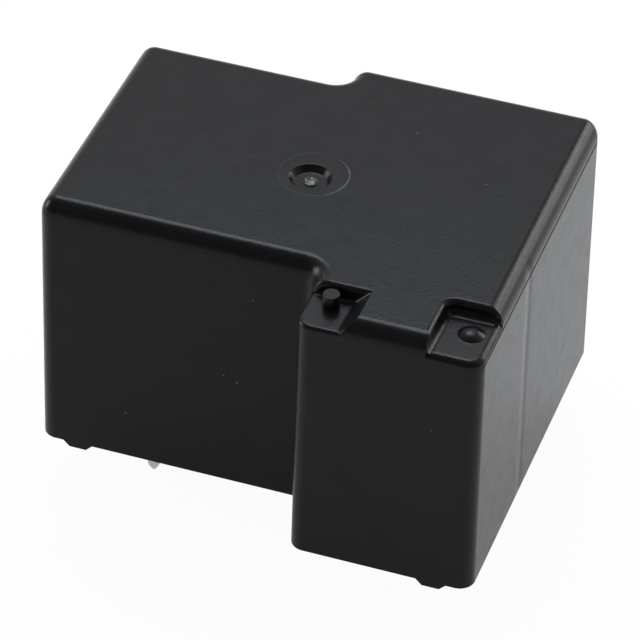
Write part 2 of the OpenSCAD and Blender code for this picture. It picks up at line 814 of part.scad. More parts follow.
// Coil pin: round below the resin, squared where the base and bobbin grip it
module coil_pin(y) {
    color([0.8, 0.8, 0.8])
        translate([coil_x, y, 0])
            union() {
                cylinder(d1 = tip_w, d2 = coil_pin_d, h = tip_l);
                translate([0, 0, tip_l]) cylinder(d = coil_pin_d, h = resin_z - tip_l);
                translate([-shank_w / 2, -shank_w / 2, resin_z]) cube([shank_w, shank_w, stub_z - resin_z]);
            }
}

module coil_pin_a() { coil_pin(coil_a_y); }

module coil_pin_b() { coil_pin(coil_b_y); }

// Straight wire between two points
module wire(p, q) {
    d = q - p;
    translate(p)
        rotate([0, acos(d[2] / norm(d)), atan2(d[1], d[0])])
            cylinder(d = wire_d, h = norm(d), $fn = 24);
}

// Wire end: a few turns round the pin, then up to the winding beside the tape
module coil_lead(y, side) {
    wrap_r = shank_w / sqrt(2) + wire_d / 2 + fit_gap;
    step = wire_d * 0.9;
    turns = floor((stub_z - ledge_z - 2 * fit_gap) / step);
    reach_a = 55;
    reach = winding_d / 2 + wire_d / 2 + fit_gap;
    start = [coil_x, y - side * wrap_r, ledge_z + fit_gap + wire_d / 2 + (turns - 1) * step];
    finish = [
        winding_left_x + lead_room / 2,
        axis_y + side * reach * sin(reach_a),
        axis_z - reach * cos(reach_a)];
    color([0.75, 0.42, 0.22])
        union() {
            for (k = [0 : turns - 1])
                translate([coil_x, y, ledge_z + fit_gap + wire_d / 2 + k * step])
                    rotate_extrude($fn = 32) translate([wrap_r, 0]) circle(d = wire_d, $fn = 16);
            wire(start, finish);
        }
}

module coil_lead_a() { coil_lead(coil_a_y, -1); }

module coil_lead_b() { coil_lead(coil_b_y, 1); }

cover();
base();
sealing_resin();
bobbin();
coil_winding();
coil_tape();
core();
yoke();
armature();
contact_spring();
moving_contact();
armature_rivets();
yoke_rivets();
common_terminal();
open_terminal();
open_contact();
closed_terminal();
closed_contact();
coil_pin_a();
coil_pin_b();
coil_lead_a();
coil_lead_b();
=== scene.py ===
# %% [markdown]
# A sealed power relay for a circuit board. The solids of the part come packed from the CAD step, and
# they are the fixed frame of this scene. Everything below is drawn in that same frame, so a piece lands
# where the solids say it is.

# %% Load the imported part
from math import cos, pi, radians, sin, tan

import bmesh
import bpy
from mathutils import Matrix, Vector


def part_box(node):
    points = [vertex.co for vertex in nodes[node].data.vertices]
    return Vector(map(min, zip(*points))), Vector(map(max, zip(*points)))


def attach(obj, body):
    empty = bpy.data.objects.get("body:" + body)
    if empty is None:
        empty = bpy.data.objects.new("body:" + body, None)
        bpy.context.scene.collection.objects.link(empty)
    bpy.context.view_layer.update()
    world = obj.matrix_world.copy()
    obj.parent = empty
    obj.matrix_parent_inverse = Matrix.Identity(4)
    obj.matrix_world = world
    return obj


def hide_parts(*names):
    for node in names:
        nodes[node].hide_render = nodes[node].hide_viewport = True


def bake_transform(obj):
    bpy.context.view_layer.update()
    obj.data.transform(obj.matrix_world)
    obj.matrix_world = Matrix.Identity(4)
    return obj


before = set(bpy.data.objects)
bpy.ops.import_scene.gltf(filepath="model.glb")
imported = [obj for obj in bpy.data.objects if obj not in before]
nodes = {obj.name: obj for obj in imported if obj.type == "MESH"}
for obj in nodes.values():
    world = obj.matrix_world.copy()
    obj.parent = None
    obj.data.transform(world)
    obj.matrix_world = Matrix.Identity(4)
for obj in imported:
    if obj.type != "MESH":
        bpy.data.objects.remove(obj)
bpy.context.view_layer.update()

# %% [markdown]
# The case is a deep black moulding with small features, so it is drawn in millimetres. All its sizes
# could be typed in, but the solids are the frame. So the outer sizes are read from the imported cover,
# and only what a mould drawing would give, such as the draft of the walls, is written as a number.

# %% Sizes of the case
MM = 0.001
cover_low, cover_high = (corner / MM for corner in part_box("cover"))
left_x, front_y, seat_z = cover_low
right_x, back_y, roof_z = cover_high
foot_h = 0.45
rim_z = seat_z + foot_h
draft = radians(0.4)


def lean_at(z):
    """How far the leaning wall stands in from the rim at a height."""
    return (z - rim_z) * tan(draft)


lean = lean_at(roof_z)
print("case in mm:", [round(high - low, 2) for low, high in zip(cover_low, cover_high)])

# %% [markdown]
# Seen from above, the case is stepped: a long bay for the coil, and a wider end for the contacts. It
# could be carved from a box. Two stepped outlines, bridged from rim to roof, give the leaning walls of
# a mould straight away. Each corner of the plan carries two signs that say which way is inwards.

# %% Stepped block with leaning walls
contact_bay_l = 12.8
heel_l = 17.8
front_step = 5.05
back_step = 2.35
bay_x = right_x - contact_bay_l
heel_x = right_x - heel_l
coil_front_y = front_y + front_step
coil_back_y = back_y - back_step
PLAN = [
    (left_x, coil_front_y, 1, 1),
    (bay_x, coil_front_y, 1, 1),
    (bay_x, front_y, 1, 1),
    (right_x, front_y, -1, 1),
    (right_x, back_y, -1, -1),
    (heel_x, back_y, 1, -1),
    (heel_x, coil_back_y, 1, -1),
    (left_x, coil_back_y, 1, -1)]


def outline_face(bm, inset, z):
    """The stepped outline as one face, moved in from the rim by inset."""
    return bm.faces.new([bm.verts.new((x + inset * ix, y + inset * iy, z)) for x, y, ix, iy in PLAN])


def stepped_block(low_z, high_z, inset):
    """A block on the stepped plan whose walls lean as the case's do."""
    bm = bmesh.new()
    ends = [outline_face(bm, lean_at(z) + inset, z) for z in (low_z, high_z)]
    bmesh.ops.bridge_loops(bm, edges=[e for end in ends for e in end.edges])
    bmesh.ops.recalc_face_normals(bm, faces=bm.faces)
    return bm


block = stepped_block(rim_z, roof_z, 0)
print("block:", len(block.faces), "faces")

# %% [markdown]
# A moulding has no knife edges, because a sharp corner cools badly and sticks in the mould. A bevel
# with many segments makes a round. The upright corners and nooks come first, so the round of the roof
# runs over them in one sweep. It reaches further down the walls than into the roof, so its points are
# stretched down.

# %% Rounded corners and roof edge
hair = 1e-4
corner_r = 1.1
nook_r = 1.2
edge_r = 1.08
brow_h = 1.45
brow_spare = 0.1
round_steps = 12
nook_fold = radians(60)


def upright(edge):
    """True for an edge that stands up."""
    a, b = edge.verts
    return abs(a.co.z - b.co.z) > 0.9 * edge.calc_length()


def in_plane(edge, axis, place):
    """True if both ends of an edge lie in a plane across one axis."""
    return all(abs(v.co[axis] - place) < hair for v in edge.verts)


def round_off(bm, edges, radius, segments):
    """Rounds edges with a bevel."""
    bmesh.ops.bevel(bm, geom=list(edges), offset=radius, offset_type="OFFSET", segments=segments,
                    profile=0.5, affect="EDGES", clamp_overlap=False, material=-1)


corners = [e for e in block.edges if upright(e) and e.is_convex]
round_off(block, corners, corner_r, round_steps)
nooks = [e for e in block.edges if upright(e) and not e.is_convex and e.calc_face_angle() > nook_fold]
round_off(block, nooks, nook_r, round_steps)
brow = [e for e in block.edges if in_plane(e, 2, roof_z)]
round_off(block, brow, edge_r, round_steps)
for v in block.verts:
    below_roof = roof_z - v.co.z
    if below_roof < edge_r + brow_spare:
        v.co.z = roof_z - below_roof * brow_h / edge_r
print("rounded:", len(corners), "corners,", len(nooks), "nooks,", len(brow), "edges round the roof")

# %% [markdown]
# Where the two halves of the mould meet, a fine line runs all round the case below the roof. The upper
# half is a hair smaller, so the line is a tiny ledge. It could be painted, but then the mesh would lack
# it. So a plane cuts three loops into the walls, and the middle loop is pressed in, deeper on the end
# wall to the right, where the line shows best.

# %% Witness line
weld = 1e-5
seam_z = roof_z - 1.7
ledge_z = seam_z + 0.01
seam_taper = 0.2
seam_depth = 0.012
end_seam_depth = 0.07
for z in (seam_z, ledge_z, ledge_z + seam_taper):
    bmesh.ops.bisect_plane(block, geom=block.verts[:] + block.edges[:] + block.faces[:], dist=weld,
                           plane_co=(0, 0, z), plane_no=(0, 0, 1))
block.normal_update()
pressed = [v for v in block.verts if abs(v.co.z - ledge_z) < hair]
for v in pressed:
    on_end_wall = v.normal.x > 0.9
    depth = end_seam_depth if on_end_wall else seam_depth
    v.co -= depth * Vector((v.normal.x, v.normal.y, 0)).normalized()
print("witness line through", len(pressed), "points")

# %% [markdown]
# So far the case is a bmesh, a shape in the making. Blender cuts and joins objects, so a shape is
# finished first: points that coincide are merged, and all faces are turned outwards. One helper ends
# every shape below, so none is left open or inside out.

# %% From shape to object


def object_from(bm, name):
    """A new object from a closed bmesh, with its faces turned outwards."""
    bmesh.ops.remove_doubles(bm, verts=bm.verts, dist=weld)
    bmesh.ops.recalc_face_normals(bm, faces=bm.faces)
    mesh = bpy.data.meshes.new(name)
    bm.to_mesh(mesh)
    bm.free()
    made = bpy.data.objects.new(name, mesh)
    bpy.context.scene.collection.objects.link(made)
    return made


cover = object_from(block, "cover_shell")
print("solid cover:", len(cover.data.polygons), "faces")

# %% [markdown]
# The inside of the case is hollow. A modifier could give the walls their thickness, but the plastic
# isn't equally thick everywhere. So the room inside is a block of its own, smaller by the wall, and is
# cut out later.

# %% Room inside the case
wall = 1.1
roof_t = 1.2
past_rim = 1.0
room = object_from(stepped_block(rim_z - past_rim, roof_z - roof_t, wall), "room")
print("room:", len(room.data.polygons), "faces")

# %% [markdown]
# Two corners of the roof are cut down. The left one holds a vent nib, and the right one a vent dome.
# Their places are measured from the edges of the roof, which the leaning walls bring a little inwards.

# %% Places of the two notches
notch_depth = 1.05
notch_z = roof_z - notch_depth
roof_bay_x = bay_x + lean
roof_right_x = right_x - lean
roof_front_y = front_y + lean
nib_floor_x = roof_bay_x + 3.0
nib_top_x = nib_floor_x + notch_depth
nib_back_y = roof_front_y + 3.5
dome_left_x = roof_right_x - 3.7
dome_back_y = roof_front_y + 4.67
notch_widths = [nib_top_x - roof_bay_x, roof_right_x - dome_left_x]
print("notches in mm:", [round(width, 2) for width in notch_widths], "wide,", notch_depth, "deep")

# %% [markdown]
# Behind the notches the walls of the case follow them, so the room inside gives way there. Each place
# is a box. A cube could be scaled to size, but a prism, a flat face that is extruded one way, gives a
# box as well as all the other straight shapes of this part.

# %% Boxes behind the notches


def with_edges(face):
    """A face with its edges and corners, as the operators want it."""
    return [face, *face.edges, *face.verts]


def first_face(parts):
    """The first face among the parts that an operator gives back."""
    return next(part for part in parts if isinstance(part, bmesh.types.BMFace))


def pull(bm, face, way):
    """Extrudes a face along a way and gives back the face it ends on."""
    end = first_face(bmesh.ops.extrude_face_region(bm, geom=with_edges(face))["geom"])
    bmesh.ops.translate(bm, verts=end.verts[:], vec=way)
    return end


def prism(bm, points, rise):
    """A closed prism: the points make one end, and rise is the way to the other."""
    return pull(bm, bm.faces.new([bm.verts.new(p) for p in points]), rise)


def box(low, high):
    """A closed box between two corners."""
    bm = bmesh.new()
    (x0, y0, z0), (x1, y1, z1) = low, high
    prism(bm, [(x0, y0, z0), (x1, y0, z0), (x1, y1, z0), (x0, y1, z0)], (0, 0, z1 - z0))
    return object_from(bm, "box")


behind_z = notch_z - wall
behind_nib = box((left_x, front_y, behind_z), (nib_top_x + wall, nib_back_y + wall, roof_z))
behind_dome = box((dome_left_x - wall, front_y, behind_z), (right_x, dome_back_y + wall, roof_z))
print("boxes from", round(behind_z, 2), "mm up to the roof")

# %% [markdown]
# The boxes are taken out of the room. A mould maker removes steel, and Blender's exact boolean does the
# same with closed shapes: it cuts one from another, or joins the two. It is slower than the fast one,
# but it doesn't stumble where faces touch. It leaves the parts of the mesh in any order, so they are
# sorted, and the next cut comes out alike in every run.

# %% Room gives way to the notches


def put_in_order(bm):
    """Sorts points, edges and faces by place. Cuts and spins leave them in another order each run."""
    for parts, place in ((bm.verts, lambda v: v.co),
                         (bm.edges, lambda e: e.verts[0].co + e.verts[1].co),
                         (bm.faces, lambda f: f.calc_center_median())):
        rank = {part: k for k, part in enumerate(sorted(parts, key=lambda part: place(part)[:]))}
        parts.sort(key=lambda part: rank[part])


def carve(body, tool, operation="DIFFERENCE"):
    """Cuts the tool from the body, or joins it, and removes the tool."""
    cut = body.modifiers.new("carve", "BOOLEAN")
    cut.object = tool
    cut.operation = operation
    cut.solver = "EXACT"
    before = body.data
    body.data = bpy.data.meshes.new_from_object(body.evaluated_get(bpy.context.evaluated_depsgraph_get()))
    body.modifiers.clear()
    bpy.data.meshes.remove(before)
    bpy.data.objects.remove(tool)
    bm = bmesh.new()
    bm.from_mesh(body.data)
    put_in_order(bm)
    bm.to_mesh(body.data)
    bm.free()


carve(room, behind_nib)
carve(room, behind_dome)
print("room beside the notches:", len(room.data.polygons), "faces")

# %% [markdown]
# The plastic came in through a gate in the middle of the roof, and the roof is thicker there. This boss
# is round, and so are the gate, the nib, the dome and the pins. A profile that is spun a full turn
# about an upright axis makes them all. With the boss left standing, the room is cut from the case.

# %% Boss behind the gate
gate_y = 0.5
gate_depth = 0.45
boss_r = 2.6
boss_z = roof_z - roof_t - gate_depth


def lathe(bm, profile, centre, steps=64):
    """Turns a profile of radius and height pairs a full turn about an upright axis."""
    verts = [bm.verts.new((centre[0] + r, centre[1], z)) for r, z in profile]
    edges = [bm.edges.new(pair) for pair in zip(verts, verts[1:])]
    bmesh.ops.spin(bm, geom=verts + edges, cent=(centre[0], centre[1], 0), axis=(0, 0, 1),
                   angle=2 * pi, steps=steps, use_merge=True)
    bmesh.ops.remove_doubles(bm, verts=bm.verts, dist=weld)
    put_in_order(bm)


boss = bmesh.new()
lathe(boss, [(0, roof_z), (boss_r, roof_z), (boss_r, boss_z), (0, boss_z)], (0, gate_y), steps=48)
carve(room, object_from(boss, "boss"))
carve(cover, room)
print("hollow case:", len(cover.data.polygons), "faces")

# %% [markdown]
# The dome's notch is a square step in the corner of the roof. Its inner corner is rounded, and its
# walls meet its floor in a soft round. A cut is hard to round afterwards, so the tool is rounded
# instead: its inner edge and its lower edges are bevelled before it cuts. Outside the case it has spare
# length.

# %% Notch of the dome
spare = 1.0
notch_r = 0.7
dome_floor_round = 0.5
notch_steps = 8
dome_tool = bmesh.new()
prism(dome_tool, [
    (dome_left_x, front_y - spare, notch_z),
    (right_x + spare, front_y - spare, notch_z),
    (right_x + spare, dome_back_y, notch_z),
    (dome_left_x, dome_back_y, notch_z)], (0, 0, notch_depth + spare))
inner = [e for e in dome_tool.edges if in_plane(e, 0, dome_left_x) and in_plane(e, 1, dome_back_y)]
round_off(dome_tool, inner, notch_r, notch_steps)
at_floor = [e for e in dome_tool.edges if in_plane(e, 2, notch_z)]
outside = [e for e in at_floor if in_plane(e, 1, front_y - spare) or in_plane(e, 0, right_x + spare)]
round_off(dome_tool, [e for e in at_floor if e not in outside], dome_floor_round, notch_steps)
carve(cover, object_from(dome_tool, "dome_tool"))
print("dome notch cut:", len(cover.data.polygons), "faces")

# %% [markdown]
# The nib's notch is open to the left and the front, and its right side slopes up to the roof. Its tool
# is that sloping outline, seen from the front, extruded towards the back. Only the edges that come to
# lie in the case are rounded.

# %% Notch of the nib
nib_floor_round = 0.22
nib_tool = bmesh.new()
prism(nib_tool, [
    (bay_x - spare, front_y - spare, notch_z),
    (nib_floor_x, front_y - spare, notch_z),
    (nib_top_x + spare, front_y - spare, roof_z + spare),
    (bay_x - spare, front_y - spare, roof_z + spare)], (0, nib_back_y - front_y + spare, 0))
at_slope = [e for e in nib_tool.edges if in_plane(e, 0, nib_floor_x)]
at_back = [e for e in nib_tool.edges if in_plane(e, 1, nib_back_y)]
in_case = [e for e in at_back if not in_plane(e, 2, roof_z + spare) and not in_plane(e, 0, bay_x - spare)]
round_off(nib_tool, at_slope + in_case, nib_floor_round, segments=5)
carve(cover, object_from(nib_tool, "nib_tool"))
print("nib notch cut:", len(cover.data.polygons), "faces")

# %% [markdown]
# The edges of the notches are rolled over, and they show as bright lines. A bevel on the cut mesh would
# trip over its many small faces. So a small tool with a hollow quarter-round profile runs along each
# edge: straight with an extrude, and round a corner with a spin. The first one follows the floor of the
# nib's notch.

# %% Rolled floor edge of the nib's notch
UP = (0, 0, 1)
LEFT = (-1, 0, 0)
RIGHT = (1, 0, 0)
FRONT = (0, -1, 0)
quarter = pi / 2
lip_r = 0.3


def arc(centre, radius, start, stop, steps):
    """Points on an arc, as pairs."""
    turns = [start + (stop - start) * k / steps for k in range(steps + 1)]
    return [(centre[0] + radius * cos(a), centre[1] + radius * sin(a)) for a in turns]


def rolling_tool(radius, start, side_a, side_b, path):
    """A tool that rounds the edge between two faces. A path step is a straight way or a turn on an axis."""
    proud = 0.05
    profile = arc((-radius, -radius), radius, 0, quarter, steps=6)
    profile += [(-radius, proud), (proud, proud), (proud, -radius)]
    places = [Vector(start) + a * Vector(side_a) + b * Vector(side_b) for a, b in profile]
    bm = bmesh.new()
    face = bm.faces.new([bm.verts.new(place) for place in places])
    for part in path:
        if len(part) == 1:
            face = pull(bm, face, part[0])
        else:
            centre, axis, angle = part
            swept = bmesh.ops.spin(bm, geom=with_edges(face), cent=centre, axis=axis, angle=angle, steps=10)
            face = first_face(swept["geom_last"])
    return object_from(bm, "rolling_tool")


notch_lean = lean_at(notch_z)
nib_wall_x = bay_x + notch_lean
notch_front_y = front_y + notch_lean
nib_corner = (nib_wall_x + corner_r, notch_front_y + corner_r, 0)
carve(cover, rolling_tool(lip_r, (nib_wall_x, nib_back_y, notch_z), LEFT, UP, [
    ((0, nib_corner[1] - nib_back_y, 0),),
    (nib_corner, UP, quarter),
    ((nib_floor_x - nib_corner[0], 0, 0),),
    ((notch_depth, 0, notch_depth),)]))
print("first edge rolled:", len(cover.data.polygons), "faces")

# %% [markdown]
# Three more edges are rolled the same way: the top of the nib's back wall, the floor of the dome's
# notch, and the top of its walls. Where a wall ends at the side of the case, its edge turns down with
# the round of the roof, so the path ends in a quarter turn.

# %% Other rolled edges
wall_round = 0.36
floor_lip_r = 0.5
brow_x = roof_bay_x + edge_r
carve(cover, rolling_tool(wall_round, (nib_top_x, nib_back_y, roof_z), UP, FRONT, [
    ((brow_x - nib_top_x, 0, 0),),
    ((brow_x, 0, roof_z - edge_r), FRONT, quarter)]))
end_wall_x = right_x - notch_lean
dome_corner = (end_wall_x - corner_r, notch_front_y + corner_r, 0)
carve(cover, rolling_tool(floor_lip_r, (end_wall_x, dome_back_y, notch_z), RIGHT, UP, [
    ((0, dome_corner[1] - dome_back_y, 0),),
    (dome_corner, UP, -quarter),
    ((dome_left_x - dome_corner[0], 0, 0),)]))
carve(cover, rolling_tool(wall_round, (dome_left_x, roof_front_y + edge_r, roof_z), UP, RIGHT, [
    ((0, dome_back_y - notch_r - roof_front_y - edge_r, 0),),
    ((dome_left_x + notch_r, dome_back_y - notch_r, 0), UP, -quarter),
    ((roof_right_x - edge_r - dome_left_x - notch_r, 0, 0),),
    ((roof_right_x - edge_r, 0, roof_z - edge_r), FRONT, -quarter)]))
print("edges rolled:", len(cover.data.polygons), "faces")

# %% [markdown]
# The gate leaves a shallow dimple in the roof: a flat floor and a slope, with a round above and below.
# The two arcs run into the slope without a corner, because a corner would draw a hard ring in the
# reflections.

# %% Gate dimple
gate_r = 1.52
gate_slope = radians(53)
gate_round = 0.12
gate_place = (-0.1, gate_y - 0.38)
gate_floor_z = roof_z - gate_depth
slant_h = gate_depth - 2 * gate_round * (1 - cos(gate_slope))
gate_floor_r = gate_r - 2 * gate_round * sin(gate_slope) - slant_h / tan(gate_slope)
bowl = arc((gate_floor_r, gate_floor_z + gate_round), gate_round, -quarter, gate_slope - quarter, steps=6)
rim = arc((gate_r, roof_z - gate_round), gate_round, quarter + gate_slope, quarter, steps=6)
tool_top_z = roof_z + 0.5
gate_tool = bmesh.new()
lathe(gate_tool, [(0, gate_floor_z)] + bowl + rim + [(gate_r, tool_top_z), (0, tool_top_z)], gate_place)
carve(cover, object_from(gate_tool, "gate_tool"))
print("gate:", round(2 * gate_r, 1), "mm wide,", gate_depth, "mm deep")

# %% [markdown]
# When the moulding leaves the mould, the plastic in the gate breaks off, and a stub stays at the bottom
# of the dimple. It is turned too, with a hollow in its uneven top. It starts inside the roof, so the
# two join cleanly.

# %% Broken stub
stub_r = 0.48
stub_profile = [
    (0, -0.3), (stub_r, -0.3), (stub_r, 0.06), (stub_r - 0.06, 0.13), (0.3, 0.15), (0.18, 0.12), (0, 0.14)]
stub = bmesh.new()
lathe(stub, [(r, gate_floor_z + up) for r, up in stub_profile], gate_place, steps=32)
carve(cover, object_from(stub, "stub"), "UNION")
print("stub:", 2 * stub_r, "mm wide")

# %% [markdown]
# The thin vent nib in the left notch keeps the case closed while the board is washed, and is cut open
# later. It is a turned peg with an eased top edge, and it grows out of the notch floor.

# %% Vent nib
nib_r = 0.58
nib_place = (roof_bay_x + 1.65, nib_back_y - 0.95)
root_z = notch_z - 0.4
nib_top_z = roof_z - 0.04
nib_profile = [
    (0, root_z), (nib_r, root_z), (nib_r, notch_z), (nib_r - 0.01, roof_z - 0.1),
    (nib_r - 0.03, roof_z - 0.06), (nib_r - 0.07, nib_top_z), (nib_r - 0.09, nib_top_z), (0, nib_top_z)]
nib = bmesh.new()
lathe(nib, nib_profile, nib_place, steps=40)
carve(cover, object_from(nib, "nib"), "UNION")
print("nib:", round(nib_top_z - notch_z, 2), "mm high")

# %% [markdown]
# The vent dome in the right notch is a low cap of a ball that can be pierced. A round skirt leads it
# into the notch floor. Both are arcs that meet without a corner, so their sizes follow from the two
# radii and the angle where they meet. The foot lies a hair below the floor, so the boolean has no two
# faces in one plane.

# %% Vent dome
ball_r = 1.25
dome_foot_r = 0.3
dome_turn = radians(40)
dome_r = (ball_r + dome_foot_r) * sin(dome_turn)
dome_h = (ball_r + dome_foot_r) * (1 - cos(dome_turn))
dome_z = notch_z - 0.003
dome_place = (roof_right_x - 1.55, roof_front_y + 2.88)
cap = arc((0, dome_z + dome_h - ball_r), ball_r, quarter, quarter - dome_turn, steps=12)
skirt = arc((dome_r, dome_z + dome_foot_r), dome_foot_r, -quarter - dome_turn, -quarter, steps=6)
dome = bmesh.new()
lathe(dome, cap + skirt + [(dome_r, root_z), (0, root_z)], dome_place, steps=48)
carve(cover, object_from(dome, "dome"), "UNION")
print("dome:", round(2 * dome_r, 2), "mm wide,", round(dome_h, 2), "mm high")

# %% [markdown]
# Four small feet on the rim hold the case off the board, so flux and water can run out from under it. A
# foot is a prism with sloping ends, drawn from the front and extruded across the wall. It reaches a
# little up into the wall, so the two join cleanly.

# %% Feet on the rim
foot_l = 2.1
foot_grip = 0.3


def foot(x, y):
    """One foot under a wall, with sloping ends."""
    bm = bmesh.new()
    prism(bm, [
        (x, y, rim_z),
        (x + foot_h, y, seat_z),
        (x + foot_l - foot_h, y, seat_z),
        (x + foot_l, y, rim_z),
        (x + foot_l, y, rim_z + foot_grip),
        (x, y, rim_z + foot_grip)], (0, wall, 0))
    return object_from(bm, "foot")


coil_foot_x = left_x + 1.7
contact_foot_x = right_x - 3.8
foot_places = [
    (coil_foot_x, coil_front_y), (coil_foot_x, coil_back_y - wall),
    (contact_foot_x, front_y), (contact_foot_x, back_y - wall)]
for x, y in foot_places:
    carve(cover, foot(x, y), "UNION")
print("cover:", len(cover.data.polygons), "faces,", len(foot_places), "feet")

# %% [markdown]
# The finished shell goes from millimetres to metres and takes the place of the plain cover. Its flat
# faces should look flat beside the rounded ones. So folds above a certain angle stay sharp, and the
# other normals are weighted by face area.

# %% Cover in place
sharp_fold = radians(32)
dressed = {}


def dress(piece, node, body):
    """Puts a finished piece in the stead of a node: in metres, smooth, and riding on its body."""
    piece.data.transform(Matrix.Scale(MM, 4))
    piece.data.polygons.foreach_set("use_smooth", [True] * len(piece.data.polygons))
    piece.data.set_sharp_from_angle(angle=sharp_fold)
    weights = piece.modifiers.new("flat faces first", "WEIGHTED_NORMAL")
    weights.keep_sharp = True
    weights.weight = 80
    if body:
        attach(piece, body)
    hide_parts(node)
    dressed[node] = piece


dress(cover, "cover", "case")
print("in place:", list(dressed))

# %% [markdown]
# The underside is sealed with black resin, poured while the part lies on its roof. It creeps up the
# walls before it sets. That edge could be sculpted, but insets do it evenly: a slab on the stepped plan
# is inset three times, each time a little deeper, so the crept edge is left standing.

# %% Sealing resin
resin_z, resin_top_z = (corner.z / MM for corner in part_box("sealing_resin"))
creep_h = 0.25
wall_gap = 0.03
creep_steps = [(0.12, 0.13), (0.3, 0.1), (0.6, 0.02)]
resin_bm = stepped_block(resin_z - creep_h, resin_top_z, wall + wall_gap)
under = min(resin_bm.faces, key=lambda f: f.calc_center_median().z)
for width, deeper in creep_steps:
    bmesh.ops.inset_region(resin_bm, faces=[under], thickness=width, depth=-deeper, use_even_offset=True)
resin = object_from(resin_bm, "resin_pour")
print("resin slab:", len(resin.data.polygons), "faces")

# %% [markdown]
# The resin also creeps along the pins. Each pin gets a turned collar, which is stretched to the pin's
# own width and thickness. The collar's radii are in units of the pin's half size, so one profile serves
# all five.

# %% Collars at the pins
pin_r = 0.45
blade_w = 1.6
blade_t = 0.8
collar_profile = [(0, 0.3), (1.9, 0.3), (1.9, 0), (1.35, -0.05), (1.1, -0.18), (0, -0.18)]
pin_nodes = ["coil_pin_a", "coil_pin_b", "open_terminal", "closed_terminal", "common_terminal"]


def pin_place(node):
    """Where a pin or blade comes through the resin, and its half sizes across."""
    low, high = (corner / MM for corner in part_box(node))
    middle = (low + high) / 2
    if node.startswith("coil_pin"):
        return middle.x, middle.y, pin_r, pin_r
    if node == "common_terminal":
        return middle.x, middle.y, blade_w / 2, blade_t / 2
    return middle.x, high.y - blade_w / 2, blade_t / 2, blade_w / 2


for node in pin_nodes:
    x, y, half_x, half_y = pin_place(node)
    collar = bmesh.new()
    lathe(collar, collar_profile, (0, 0), steps=32)
    bmesh.ops.scale(collar, vec=(half_x, half_y, 1), verts=collar.verts)
    bmesh.ops.translate(collar, vec=(x, y, resin_z), verts=collar.verts)
    carve(resin, object_from(collar, "collar"), "UNION")
dress(resin, "sealing_resin", "case")
print("resin with", len(pin_nodes), "collars:", len(resin.data.polygons), "faces")

# %% [markdown]
# A coil pin is round wire below the resin, with a rounded tip, and squared where the plastic grips it.
# The round length is a turned profile, and the squared one is a small box joined to it.

# %% Coil pins
shank_half = 0.4
shank_overlap = 0.2
tip_profile = [(0, 0), (0.09, 0.005), (0.15, 0.04), (0.3, 0.28), (0.4, 0.5), (pin_r, 0.72)]
for node in ("coil_pin_a", "coil_pin_b"):
    x, y = pin_place(node)[:2]
    shank_low = (x - shank_half, y - shank_half, resin_z - shank_overlap)
    shank_high = (x + shank_half, y + shank_half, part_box(node)[1].z / MM)
    pin_bm = bmesh.new()
    lathe(pin_bm, tip_profile + [(pin_r, resin_z), (0, resin_z)], (x, y), steps=32)
    pin = object_from(pin_bm, node + "_drawn")
    carve(pin, box(shank_low, shank_high), "UNION")
    dress(pin, node, "case")
print("coil pins:", len(pin.data.polygons), "faces each")

# %% [markdown]
# Stamped and headed pieces never have knife edges: the press rounds one side, and plating fills the
# rest. Their solids already have the right outline, so a copy is merged, its flat faces are joined, and
# the sharp edges are eased with a bevel.

# %% Stamped and headed pieces
knife_fold = radians(40)
flat_within = radians(1)
stamped = {
    "open_terminal": (0.08, "case", "terminal_copper"),
    "closed_terminal": (0.08, "case", "terminal_copper"),
    "common_terminal": (0.08, "case", "terminal_copper"),
    "yoke": (0.15, "case", "soft_iron"),
    "core": (0.12, "case", "soft_iron"),
    "yoke_rivets": (0.25, "case", "rivet_brass"),
    "open_contact": (0.12, "case", "contact_silver"),
    "closed_contact": (0.12, "case", "contact_silver"),
    "armature": (0.15, "armature", "soft_iron"),
    "armature_rivets": (0.25, "armature", "rivet_brass"),
    "moving_contact": (0.1, "armature", "contact_silver")}


def eased(node, radius):
    """A copy of a node with its sharp edges rounded."""
    bm = bmesh.new()
    bm.from_mesh(nodes[node].data)
    bmesh.ops.scale(bm, vec=(1 / MM, 1 / MM, 1 / MM), verts=bm.verts)
    bmesh.ops.remove_doubles(bm, verts=bm.verts, dist=hair)
    bmesh.ops.dissolve_limit(bm, angle_limit=flat_within, verts=bm.verts, edges=bm.edges)
    sharp = [e for e in bm.edges if e.is_manifold and e.calc_face_angle() > knife_fold]
    bmesh.ops.bevel(bm, geom=sharp, offset=radius, offset_type="OFFSET", segments=3, profile=0.5,
                    affect="EDGES", clamp_overlap=True, material=-1)
    return object_from(bm, node + "_eased")


for node, (radius, body, slot) in stamped.items():
    dress(eased(node, radius), node, body)
print("eased:", {node: len(dressed[node].data.polygons) for node in stamped})

# %% [markdown]
# The coil is wound from thin enamelled wire, and its outside shows the turns side by side. Real turns
# form one long screw. Turned rings look the same at this size and stay closed and light, so one profile
# of small arcs is spun, and then laid down along the core.

# %% Coil winding
wire_r = 0.1
wire_shows = pi / 3
tube_r = 4.36
coil_low, coil_high = (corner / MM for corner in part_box("coil_winding"))
coil_mid = (coil_low + coil_high) / 2
coil_l = coil_high.x - coil_low.x
wire_mid_r = (coil_high.z - coil_low.z) / 2 - wire_r
turns = int(coil_l / (2 * wire_r))
pitch = coil_l / turns
wound = []
for k in range(turns):
    wound += arc((wire_mid_r, (k + 0.5) * pitch), wire_r, -wire_shows, wire_shows, steps=3)
first_end = [(tube_r, 0), (wire_mid_r, 0)]
last_end = [(wire_mid_r, coil_l), (tube_r, coil_l), (tube_r, 0)]
winding = bmesh.new()
lathe(winding, first_end + wound + last_end, (0, 0))
bmesh.ops.rotate(winding, cent=(0, 0, 0), matrix=Matrix.Rotation(quarter, 3, "Y"), verts=winding.verts)
bmesh.ops.translate(winding, vec=(coil_low.x, coil_mid.y, coil_mid.z), verts=winding.verts)
dress(object_from(winding, "winding_turns"), "coil_winding", "case")
